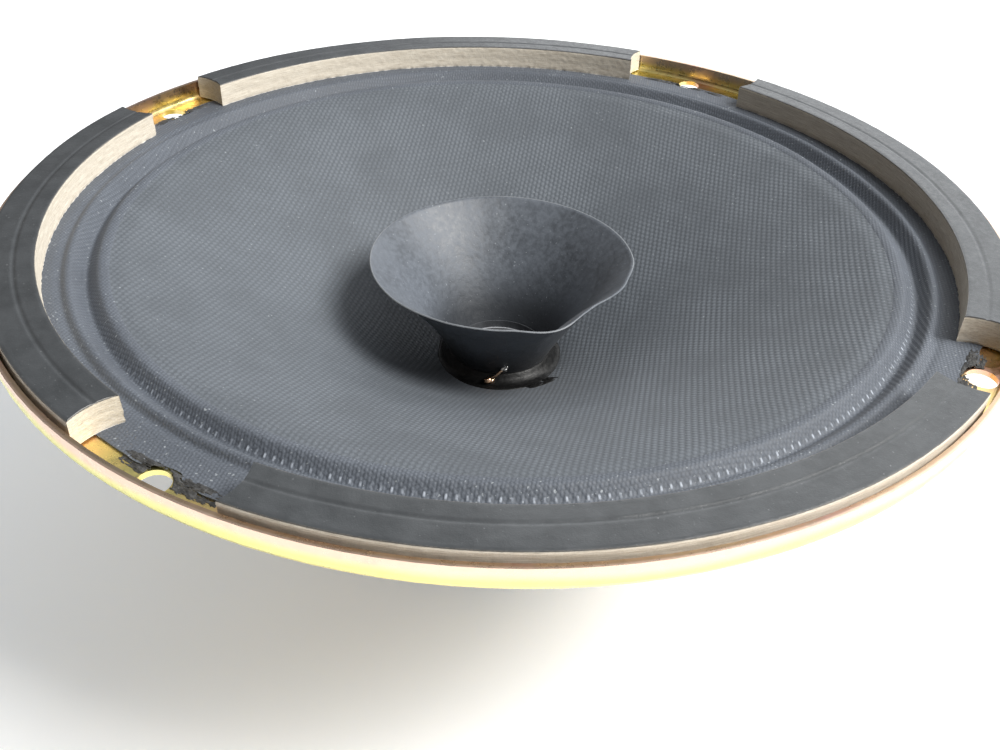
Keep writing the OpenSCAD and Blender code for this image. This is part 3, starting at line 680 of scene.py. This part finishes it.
def winding_wire():
    """Enamelled copper wire, laid turn by turn, with painted shade in the grooves between turns."""
    look = Look("copper_wire", Metallic=1.0, Coat_Weight=0.5, Coat_Roughness=0.2)
    turns = look.calc("COSINE", look.times(look.xyz().z, TURN / 0.25))
    cloud = look.noise(2)
    # Painted shade: dark bands in the grooves between the turns.
    colour = look.mix(look.between(turns, -0.8, 0.6), (0.10, 0.03, 0.012), (0.62, 0.24, 0.10))
    colour = look.mix(look.between(cloud, 0.4, 0.7, 0.0, 0.4), colour, (0.42, 0.15, 0.06))
    return look.finish(colour, look.between(cloud, 0.3, 0.7, 0.2, 0.35), look.bump(turns, 0.08))


# ---- Edge and cones ----
def cone_front(r):
    """The height of the cone's front face at that radius."""
    f = (np.asarray(r, float) - NECK_R) / (EDGE_R - NECK_R)
    return CONE_NECK_Z + f * (CONE_EDGE_Z - CONE_NECK_Z) + 4 * CONE_BULGE * f * (1 - f)


def add_main_cone(look):
    """The main cone. Its thick paper thins out towards the edge cloth."""
    last_r, edge_t = EDGE_R + 0.3, 0.02
    radii = np.linspace(NECK_R, last_r, 96)
    back = cone_front(radii) - CONE_DROP
    front = cone_front(radii) - (CONE_DROP - edge_t) * step(radii, EDGE_R - 3.4, last_r)
    collar = CONE_NECK_Z - 3.5
    outline = [(FORMER_R, collar), (NECK_R, collar), (NECK_R + 0.05, collar + 1.6)]
    outline += list(zip(radii[::3], back[::3])) + list(zip(radii[::-1], front[::-1]))
    outline += [(FORMER_R, CONE_NECK_Z), (FORMER_R, CONE_NECK_Z - 1.7)]

    def place(r, z, a):
        f = (r - NECK_R) / (EDGE_R - NECK_R)
        free = step(f, 0.06, 0.25) * (1 - step(f, 0.86, 0.98))
        z = z + free * (0.16 * field(a / TURN, f, 9, 3, 11) + 0.05 * field(a / TURN, f, 60, 22, 12))
        return r, z, a

    obj = ring("main_cone_skin", outline, 720, place)
    piece(obj, "moving_cone", look, ["main_cone"])


def edge_middle():
    """The middle line of the edge cloth, from its outer rim in to the band glued under the cone."""
    landing = [(CLOTH_OUT, LANDING_Z), (89.3, LANDING_Z), (87.9, 0.7)]
    waves = [(86.4, 2.1), (83.7, -1.4), (80.9, 1.15), (EDGE_R, 0.86)]
    line = rounded(landing + waves, [0, 1.2, 0.9, 0.9, 1.0, 0.8, 0])
    last_r = EDGE_R - 3
    under = cone_front(last_r) - CONE_DROP - 0.25
    return np.concatenate([line, [(78.9, 0.45), (78.3, 0.05), (last_r, under)]])


def add_edge_surround(look):
    """The corrugated edge cloth, gathered into small puckers in its valley."""
    middle = evenly(edge_middle(), 52)
    top, low = shifted(middle, -CLOTH_T / 2), shifted(middle, CLOTH_T / 2)
    outline = (list(top[::-1]) + list(low[::3]))[::-1]

    def place(r, z, a):
        u, degrees = a / TURN, np.degrees(a)
        uneven = 0.62 + 0.5 * field(u, 0.5, 90, 1, 21) + 0.25 * field(u, 0.2, 17, 1, 22)
        front = 0.4 + 0.6 * hump(turned(degrees, -105), 0, 75)
        lean = a * PUCKERS - 2.3 * (r - PUCKER_R)
        peak = (0.5 + 0.5 * np.cos(a * PUCKERS)) ** 3 - 0.3
        thread = np.abs(np.cos(lean / 2 + 0.6)) ** 0.6 - 0.7
        second = np.sin(lean * 2 + 2.1 * field(u, 0.7, 60, 1, 24))
        gather = front * np.clip(uneven, 0.2, 1.3)
        tips = 0.42 * hump(r, PUCKER_R, 0.8) * peak
        z = z + gather * (tips + 0.30 * hump(r, PUCKER_R - 0.9, 1.4) * thread)
        z = z + hump(r, 80.8, 1.2) * 0.05 * second + hump(r, 86.2, 2.0) * 0.05 * gather * second
        wave = 0.10 * field(u, 0.5, 40, 1, 25) + 0.10 * field(u, 0.5, 9, 1, 26)
        z = z + wave * step(r, 79.6, 81) * (1 - step(r, 86.5, 89))
        after_hole = (degrees - HOLE_ANGLE) % HOLE_STEP
        off_hole = np.abs(after_hole - HOLE_STEP * (after_hole > HOLE_STEP / 2))
        short = (CLOTH_OUT - CLOTH_AT_HOLE) * (1 - step(off_hole, 1.3, 2.6))
        rim = step(r, 92.6, CLOTH_OUT)
        return r + rim * (0.35 * field(u, 0.5, 260, 1, 27) - 0.3 - short), z, a

    obj = ring("edge_cloth", outline, 1416, place, 70)

    def share(r, y):
        return 1 - step(r, CLOTH_FREE_R, CLOTH_STILL_R)

    bend_between(obj, (CLOTH_STILL_R, 0, 0), (CLOTH_FREE_R, 0, 0), share)
    piece(obj, None, look, ["edge_surround"])


def add_whizzer(look):
    """The small paper horn. Its free rim is wavy, and bent in at the front right."""
    axis = WHIZZER_RIM - WHIZZER_FOOT
    inward = np.array([-axis[1], axis[0]]) / np.linalg.norm(axis)
    f = np.linspace(0, 1, 44)[:, None]
    line = WHIZZER_FOOT + f * axis + 4 * WHIZZER_FLARE * f * (1 - f) * inward
    outer, inner = line, line + WHIZZER_T * inward
    foot_r, foot_z = WHIZZER_FOOT[0], WHIZZER_FOOT[1] - 2
    lip = (outer[-1] + inner[-1]) / 2 + (0.05, 0.08)
    outline = [(FORMER_R, foot_z), (foot_r, foot_z), *outer, tuple(lip), *inner[::-1]]

    def place(r, z, a):
        rise = step(z, -26, WHIZZER_RIM[1])
        u = a / TURN
        ease = rise ** 1.5
        swing = 0.22 * field(u, 0.5, 7, 1, 31) + 0.05 * field(u, 0.5, 40, 1, 32)
        dent = np.zeros_like(a)
        for middle, half, depth in WHIZZER_DENTS:
            dent = dent + depth * hump(turned(np.degrees(a), middle), 0, half)
        move = ease * (swing + dent)
        r = r + move
        z = z - 0.45 * move * rise + 0.10 * ease * field(u, 0.5, 11, 1, 33)
        return r, z, a

    obj = ring("whizzer_horn", outline, 540, place, 60)
    piece(obj, "moving_cone", look, ["whizzer_cone"])


# ---- Gaskets ----
def add_gasket(name, middle, seed, look):
    """One arc of layered board with a charcoal cover, a pressed line and hand-cut, hollow ends."""
    width, height = GASKET_OUT - GASKET_IN, GASKET_TOP - GASKET_LOW
    mid_r, half_w = (GASKET_IN + GASKET_OUT) / 2, width / 2
    back = math.sqrt(SCOOP_R ** 2 - half_w ** 2)
    us = np.concatenate([[0, 0.008, 0.025], np.linspace(0.06, 0.94, 34), [0.975, 0.992, 1]])
    vs = np.concatenate([[0, 0.001, 0.003], np.linspace(0.006, 0.994, 420), [0.997, 0.999, 1]])
    ws = np.array([0, 0.04, 0.1, 0.17, 0.24, 0.31, 0.38, 0.45, 0.52,
                   0.59, 0.66, 0.73, 0.8, 0.87, 0.93, 0.97, 0.99, 1])

    def place(u, v, w):
        r = GASKET_IN + u * width
        recess = np.sqrt(np.maximum(SCOOP_R ** 2 - (r - mid_r) ** 2, 0)) - back
        half_a = math.radians(GASKET_SWEEP / 2) - recess / r
        a = math.radians(middle) + (2 * v - 1) * half_a
        z = GASKET_LOW + w * height
        turn = a / TURN
        layer = 0.05 * field(turn, w, 700, 11, seed) + 0.07 * field(w * 0.49, turn % 1, 18, 3, seed + 1)
        ragged = (1 - step(w, 0.0, 0.09)) * (0.16 * field(turn, 0.5, 900, 1, seed + 2) - 0.04)
        fray = layer + ragged + 0.10 * field(turn, 0.5, 60, 1, seed + 3)
        soft = 0.28 * (1 - np.sqrt(np.clip(1 - ((w - 0.93) / 0.07).clip(0, 1) ** 2, 0, 1)))
        inner, outer = (u == 0), (u == 1)
        r = r + np.where(inner, soft - fray * 0.8, 0) + np.where(outer, -soft + fray * 0.5, 0)
        end = np.where(v == 0, -1, 0) + np.where(v == 1, 1, 0)
        a = a + end * (fray * 0.9 - soft) / r
        top = step(w, 0.9, 1.0)
        pressed = hump(r, PRESSED_R, 0.6) * 0.16
        sag = 0.05 * field(turn, u, 40, 3, seed + 4) + 0.02 * field(turn, u, 300, 9, seed + 5)
        edge = step(abs(r - mid_r), half_w - 0.5, half_w) * 0.10
        z = z - top * (pressed + edge) + top * sag
        return np.stack([r * np.cos(a), r * np.sin(a), z], 1)

    piece(block(name + "_board", us, vs, ws, place, 35), "frame", look, [name])


# ---- Glue, solder and leads ----
def add_neck_glue(look):
    """The uneven black fillet between the whizzer's foot and the cone."""
    foot = [(10.9, -33.5)] + [(r, cone_front(r) - 0.15) for r in (12.2, 13.4, 14.5)]
    skin = [(14.6, cone_front(14.6) + 0.02), (14.0, cone_front(14.0) + 0.35), (13.2, -31.9), (12.3, -31.1),
            (11.6, -30.2), (11.25, -30.1), (10.95, -31.6)]
    outline = evenly(foot + skin + foot[:1], 40)[:-1]

    def place(r, z, a):
        u = a / TURN
        front = hump(turned(np.degrees(a), -100), 0, 70)
        out = step(r, 12.4, 14.4)
        reach = 0.3 * field(u, 0.5, 13, 1, 41) + 0.12 * field(u, 0.5, 37, 1, 42) + 2.3 * front - 0.6
        moved = r + out * np.maximum(reach, -0.8)
        lift = np.where(z > cone_front(r) - 0.1, 1, 0)
        z = z + (cone_front(moved) - cone_front(r)) * out
        v = (r - 11) / 5
        lumps = 0.05 * field(u, v, 70, 5, 43) + 0.10 * field(u, v, 24, 3, 44)
        return moved, z + lift * lumps * step(r, 11.3, 12.2), a

    obj = ring("neck_glue_fillet", outline, 480, place, 180)
    piece(obj, "moving_cone", look, ["neck_glue"])


def patch(name, a_from, a_to, r_from, r_to, height, surface, seed, cover, cells, hole=None):
    """A ragged skin of dried glue on a surface of revolution: kept where its noise is high enough.

    hole is the angle of a mounting hole that stays open."""
    na, nr = 180, 72
    a, r = np.meshgrid(np.linspace(a_from, a_to, na), np.linspace(r_from, r_to, nr), indexing="ij")
    u, v = (a - a_from) / (a_to - a_from), (r - r_from) / (r_to - r_from)
    along, across = cells
    body = 0.5 + 0.5 * field(u * 0.5, v, along * 2, across, seed)
    body = body + 0.25 * field(u * 0.5, v, along * 6, across * 3, seed + 1)
    fade = np.minimum(hump(u, 0.5, 0.5) * 3, 1) * np.minimum(hump(v, 0.5, 0.5) * 3, 1)
    body = body * fade - cover
    top = surface(r) + 0.03 + np.clip(body, 0, 1) * height * 2
    x, y = r * np.cos(np.radians(a)), r * np.sin(np.radians(a))
    points = np.stack([x, y, top], -1).reshape(-1, 3)
    under = points - [0, 0, 0.12]
    keep = body > 0
    if hole is not None:
        middle = polar(HOLE_CIRCLE_R, hole, 0)
        rim = 2.95 + 0.35 * field(u * 0.5, v, 70, 12, seed + 2)
        keep &= np.hypot(x - middle[0], y - middle[1]) > rim
    faces, edges = [], {}
    for i, j in np.ndindex(na - 1, nr - 1):
        if keep[i:i + 2, j:j + 2].all():
            here, there = i * nr + j, (i + 1) * nr + j
            face = [there, there + 1, here + 1, here]
            faces.append(face)
            edges.update(dict.fromkeys(zip(face, face[1:] + face[:1])))
    count = len(points)
    walls = [[q, p, p + count, q + count] for p, q in edges if (q, p) not in edges]
    faces += [[k + count for k in f[::-1]] for f in faces]
    points = np.concatenate([points, under])
    used = sorted({k for f in faces + walls for k in f})
    new = {k: n for n, k in enumerate(used)}
    return mesh_object(name, points[used], [[new[k] for k in f] for f in faces + walls], 180)


def blob(name, places, seed):
    """One drop for each (x, y, z, radius, stretch along x, y and z), joined and lumpy."""
    points, faces = [], []
    rows, cols = 22, 32
    for n, (x, y, z, radius, sx, sy, sz) in enumerate(places):
        for i, j in np.ndindex(rows + 1, cols):
            t, p = math.pi * i / rows, TURN * j / cols
            out = math.sin(t)
            lump = 1 + 0.10 * math.sin(3 * p + n + seed) * out + 0.07 * math.sin(5 * t + 2 * p + seed)
            lump += 0.04 * math.sin(9 * p + 4 * t + seed * n) * out
            points.append((x + radius * sx * lump * out * math.cos(p),
                           y + radius * sy * lump * out * math.sin(p),
                           z + radius * sz * lump * math.cos(t)))
        for i, j in np.ndindex(rows, cols):
            here, k = (n * (rows + 1) + i) * cols, (j + 1) % cols
            faces.append([here + j, here + cols + j, here + cols + k, here + k])
    obj = mesh_object(name, points, faces, 180)
    merge = obj.modifiers.new("merge", "WELD")
    merge.merge_threshold = 0.00001
    return obj


def polar(r, degrees, z):
    """The point at that radius, angle and height."""
    return np.array([r * math.cos(math.radians(degrees)), r * math.sin(math.radians(degrees)), z])


def smooth_line(points, between=12):
    """A Catmull-Rom curve through the points."""
    p = np.asarray(points, float)
    out = []
    for i in range(len(p) - 1):
        a, b, c, d = p[max(i - 1, 0)], p[i], p[i + 1], p[min(i + 2, len(p) - 1)]
        for t in np.arange(between) / between:
            bend, twist = 2 * a - 5 * b + 4 * c - d, 3 * b - a - 3 * c + d
            out.append(0.5 * (2 * b + (c - a) * t + bend * t ** 2 + twist * t ** 3))
    return np.array(out + [p[-1]])


def add_lead(name, look):
    """A braided tinsel lead that flexes between its lug and the cone."""
    line = evenly(smooth_line(LEADS[name]), 260)
    length = float(np.sum(np.linalg.norm(np.diff(line, axis=0), axis=1)))

    def braid(s, a):
        turn = s * length * TURN / BRAID_LAY
        return 0.93 + 0.07 * np.maximum(np.cos(4 * a + turn), np.cos(4 * a - turn))

    obj = tube(name + "_braid", line, BRAID_R, 24, braid)
    start, end = LEADS[name][0], LEADS[name][-1]

    def share(r, y):
        return step((y - start[1]) / (end[1] - start[1]), 0.04, 0.96)

    bend_between(obj, start, end, share)
    piece(obj, None, look, [name])


def add_solder(warm_look, bright_look):
    """Two drops of solder where the leads come through the cone, with a stub of wire between."""
    low, high = polar(*SOLDER_LOW), polar(*SOLDER_HIGH)
    drops = [
        ("solder_drop_low", 3, warm_look,
         [(*low, 0.95, 1.2, 0.9, 0.75), (*(low + (0.7, 0.25, 0.25)), 0.6, 1, 1, 0.8)]),
        ("solder_drop_high", 5, bright_look,
         [(*high, 0.7, 1.1, 0.8, 0.8), (*(high + (0.5, 0.2, 0.3)), 0.45, 1, 1, 1)]),
    ]
    for name, seed, look, places in drops:
        piece(blob(name, places, seed), "moving_cone", look, ["cone_solder_joints"])
    stub = smooth_line([low + (0.2, 0, 0.3), low * 0.62 + high * 0.38 + (0, -0.5, 0.25),
                        low * 0.3 + high * 0.7 + (0, -0.35, 0.4), high + (0, 0, 0.1)], 10)
    link = tube("solder_link", stub, 0.28, 10)
    piece(link, "moving_cone", warm_look, ["cone_solder_joints"])


def cloth_top(r):
    """The height of the edge cloth's upper face on the flange."""
    return LANDING_Z + CLOTH_T / 2 - 0.4 * step(r, CLOTH_OUT - 0.6, CLOTH_OUT)


def add_spider(look):
    """The pressed cloth that centres the coil: five round waves between a collar and a flat rim."""
    radii = np.linspace(SPIDER_IN, SPIDER_OUT, 121)
    phase = TURN * SPIDER_WAVES * (radii - SPIDER_IN) / (SPIDER_OUT - SPIDER_IN)
    waves = np.stack([radii, SPIDER_Z + SPIDER_WAVE * np.sin(phase)], 1)
    collar = [(10.55, -38.2), (10.56, -39.2), (10.75, -39.7), (11.4, SPIDER_Z)]
    middle = np.concatenate([collar, waves, [(r, SPIDER_Z) for r in (42, 44, 46, SPIDER_RIM)]])
    middle = evenly(middle, 100)
    top, low = shifted(middle, CLOTH_T / 2), shifted(middle, -CLOTH_T / 2)
    outline = list(low) + list(top[::-1])

    def place(r, z, a):
        u, v = a / TURN, (r - 10) / (SPIDER_RIM - 10)
        free = step(r, 12, 15) * (1 - step(r, 38, SPIDER_OUT))
        z = z + free * (0.10 * field(u, v, 14, 3, 61) + 0.03 * field(u, v, 110, 20, 62))
        rim = step(r, 47.5, SPIDER_RIM)
        return r - rim * (0.15 + 0.15 * field(u, 0.5, 220, 1, 63)), z, a

    def share(r, y):
        return 1 - step(r, 12, SPIDER_OUT)

    obj = ring("spider_cloth", outline, 480, place, 70)
    bend_between(obj, (SPIDER_OUT, 0, SPIDER_Z), (12, 0, SPIDER_Z), share)
    piece(obj, None, look, ["spider"])


# ---- Stage and light ----
def add_floor():
    """Plain pale paper with a little light of its own."""
    look = Look("floor_paper", Specular_IOR_Level=0.25,
                Emission_Color=(0.86, 0.93, 1.0), Emission_Strength=0.30)
    fibre = look.noise(1.2, 4, 0.6)
    colour = look.mix(look.between(fibre), (0.80, 0.805, 0.81), (0.85, 0.85, 0.85))
    rough = look.between(fibre, 0.3, 0.7, 0.7, 0.85)
    look.finish(colour, rough, look.bump(fibre, 0.03, 0.5))
    corners = [(x * FLOOR_HALF, y * FLOOR_HALF, FLOOR_Z) for x, y in ((-1, -1), (1, -1), (1, 1), (-1, 1))]
    obj = mesh_object("floor", corners, [[0, 1, 2, 3]])
    obj.data.materials.append(look.material)


def direction(azimuth, elevation):
    """The unit vector at that azimuth and elevation, in degrees."""
    a, e = math.radians(azimuth), math.radians(elevation)
    return Vector((math.cos(a) * math.cos(e), math.sin(a) * math.cos(e), math.sin(e)))


def add_light(name, azimuth, elevation, distance, width, height, power, colour):
    """A soft box in that direction from the speaker, facing it."""
    data = bpy.data.lights.new(name, "AREA")
    data.shape, data.size, data.size_y = "RECTANGLE", width, height
    data.energy, data.color = power, colour
    way = direction(azimuth, elevation)
    obj = bpy.data.objects.new(name, data)
    bpy.context.collection.objects.link(obj)
    aim(obj, way * distance * METRE, -way)


def add_world():
    """A pale room: cool and bright on the window's side, dim and warm on the other."""
    world = bpy.data.worlds.new("room")
    world.use_nodes = True
    bpy.context.scene.world = world
    tree = world.node_tree
    background = tree.nodes["Background"]
    way = tree.nodes.new("ShaderNodeTexCoord")
    dot = tree.nodes.new("ShaderNodeVectorMath")
    dot.operation = "DOT_PRODUCT"
    dot.inputs[1].default_value = direction(ROOM_BRIGHT_AZIMUTH, ROOM_BRIGHT_ELEVATION)
    ranged = tree.nodes.new("ShaderNodeMapRange")
    ranged.interpolation_type = "SMOOTHSTEP"
    tint = tree.nodes.new("ShaderNodeMix")
    tint.data_type = "RGBA"
    tint.inputs[6].default_value = (1.0, 0.70, 0.44, 1)
    tint.inputs[7].default_value = (0.93, 0.965, 1.0, 1)
    share = tree.nodes.new("ShaderNodeMapRange")
    for node, values in ((ranged, (-0.8, 0.8, ROOM_DARK, ROOM_BRIGHT)), (share, (-0.8, 0.2, 0.0, 1.0))):
        for socket, value in zip(node.inputs[1:], values):
            socket.default_value = value
    link = tree.links.new
    link(dot.outputs["Value"], share.inputs[0])
    link(share.outputs[0], tint.inputs[0])
    link(tint.outputs[2], background.inputs["Color"])
    link(way.outputs["Generated"], dot.inputs[0])
    link(dot.outputs["Value"], ranged.inputs[0])
    link(ranged.outputs[0], background.inputs["Strength"])


# ---- The scene ----
add_camera()
bpy.context.scene.view_settings.view_transform = "Standard"

LOOKS = {
    "cone": cone_cloth(
        "cone_cloth", (0.049, 0.056, 0.065), (0.090, 0.102, 0.118), 0.08, 1.05, 0.42, 0.735),
    "edge": cone_cloth(
        "edge_cloth", (0.042, 0.048, 0.059), (0.080, 0.091, 0.110), 0.05, 0.62, 0.6, 0.70, wear_and_painted_tips=True),
    "whizzer": whizzer_paper(),
    "board": chipboard(),
    "zinc": yellow_zinc(),
    "plate": turned_steel("plate_steel", (0.40, 0.39, 0.36), (0.60, 0.58, 0.53)),
    "pole": turned_steel("pole_steel", (0.34, 0.34, 0.34), (0.52, 0.52, 0.52), 0.25, 0.4, 0.1),
    "rivet": soft_metal("rivet_steel", (0.50, 0.49, 0.46), (0.68, 0.67, 0.63), 0.25, 0.45),
    "ferrite": ferrite(),
    "phenolic": phenolic(),
    "brass": soft_metal("lug_brass", (0.62, 0.44, 0.16), (0.80, 0.62, 0.30), 0.22, 0.42),
    "tin": soft_metal("lug_tin", (0.58, 0.58, 0.57), (0.76, 0.76, 0.75), 0.22, 0.42),
    "spider": spider_cloth(),
    "cap": paper("cap_felt", (0.018, 0.019, 0.022), (0.034, 0.036, 0.040), 0.8, 9.5),
    "former": paper("former_paper", (0.035, 0.037, 0.042), (0.065, 0.07, 0.078), 0.5),
    "collar": paper("collar_paper", (0.30, 0.21, 0.12), (0.42, 0.31, 0.19), 0.6),
    "wire": winding_wire(),
    "glue": black_glue("black_glue", 0.3, 0.6, 0.1, 0.3, 0.6),
    "dry_glue": black_glue("dry_glue", 0.5, 0.8, 0.9, 0.4, 3.2),
    "solder": soft_metal("solder", (0.60, 0.60, 0.59), (0.80, 0.80, 0.79), 0.12, 0.3, 0.06),
    "warm_solder": soft_metal("warm_solder", (0.70, 0.42, 0.26), (0.86, 0.62, 0.44), 0.12, 0.3, 0.06),
    "tinsel": braid_metal(),
}

CAD_LOOKS = {
    "basket": "zinc", "frame_rivets": "rivet", "top_plate": "plate", "magnet": "ferrite",
    "back_plate": "plate", "pole_piece": "pole", "terminal_board": "phenolic", "terminal_rivets": "rivet",
    "terminal_lug_positive": "brass", "terminal_lug_negative": "tin", "lug_rivets": "brass",
    "dust_cap": "cap", "coil_former": "former", "coil_winding": "wire", "coil_collar": "collar",
    "coil_lead_outs": "wire",
}
for node, look in CAD_LOOKS.items():
    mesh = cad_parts[node].data
    mesh.materials.clear()
    mesh.materials.append(LOOKS[look])
    mesh.shade_smooth()
    mesh.set_sharp_from_angle(angle=math.radians(32))

for name in LEADS:
    add_lead(name, LOOKS["tinsel"])
add_main_cone(LOOKS["cone"])
add_edge_surround(LOOKS["edge"])
add_whizzer(LOOKS["whizzer"])
add_spider(LOOKS["spider"])
for seed, (name, middle) in enumerate(GASKETS.items()):
    add_gasket(name, middle, 100 + 10 * seed, LOOKS["board"])
add_neck_glue(LOOKS["glue"])
smear = patch("cone_glue_smear", -84, -52, 14.0, 18.6, 0.20, cone_front, 51, 0.12, (5, 3))
piece(smear, "moving_cone", LOOKS["glue"], ["cone_glue_patches"])
add_solder(LOOKS["warm_solder"], LOOKS["solder"])
for seed, (name, start, end, inner, outer, bare, hole) in enumerate(GAP_GLUE):
    skin = patch(name, start, end, inner, outer, 0.12, cloth_top, 70 + 3 * seed, bare, (22, 9), hole)
    piece(skin, "frame", LOOKS["dry_glue"])

add_floor()
add_world()
for light in LIGHTS:
    add_light(*light)

bpy.context.view_layer.update()
